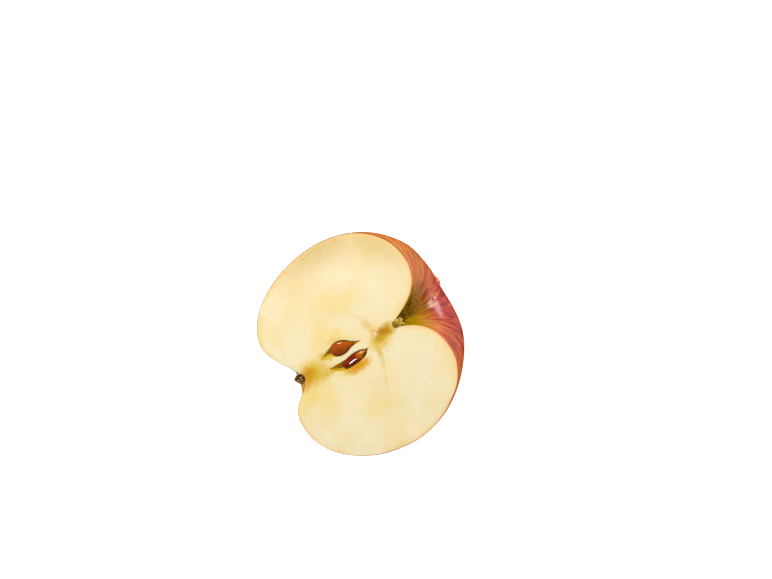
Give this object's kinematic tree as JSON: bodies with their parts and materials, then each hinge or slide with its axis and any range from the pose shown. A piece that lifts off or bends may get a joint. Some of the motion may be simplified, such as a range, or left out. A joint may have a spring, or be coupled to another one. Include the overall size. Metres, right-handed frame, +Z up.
{
  "type": "apple half",
  "caption": "Half of a red and yellow striped apple, cut lengthwise through the core, cut face up, with seeds in their chambers, the dried flower end and the foot of the stem.",
  "frame": {"origin": "on the small flat spot that the half rests on, under the middle of its outline", "axes": "+Z up, square to the cut face; +Y along the apple's own axis towards the stem; +X across the width, towards the lobe with the narrower seed"},
  "size_m": [0.0749, 0.0632, 0.0376],
  "materials": {
    "flesh_and_skin": "moist pale cream-yellow cut flesh; thin glossy skin striped red over yellow",
    "seed_coat": "smooth reddish brown, satin to glossy",
    "dried_flower_end": "dry olive-brown, matte",
    "torn_stem": "torn fibrous olive-brown, matte"
  },
  "bodies": {
    "root": {"apple_half": "flesh_and_skin", "seed_left": "seed_coat", "seed_right": "seed_coat", "calyx": "dried_flower_end", "stem_foot": "torn_stem"}
  },
  "joints": []
}
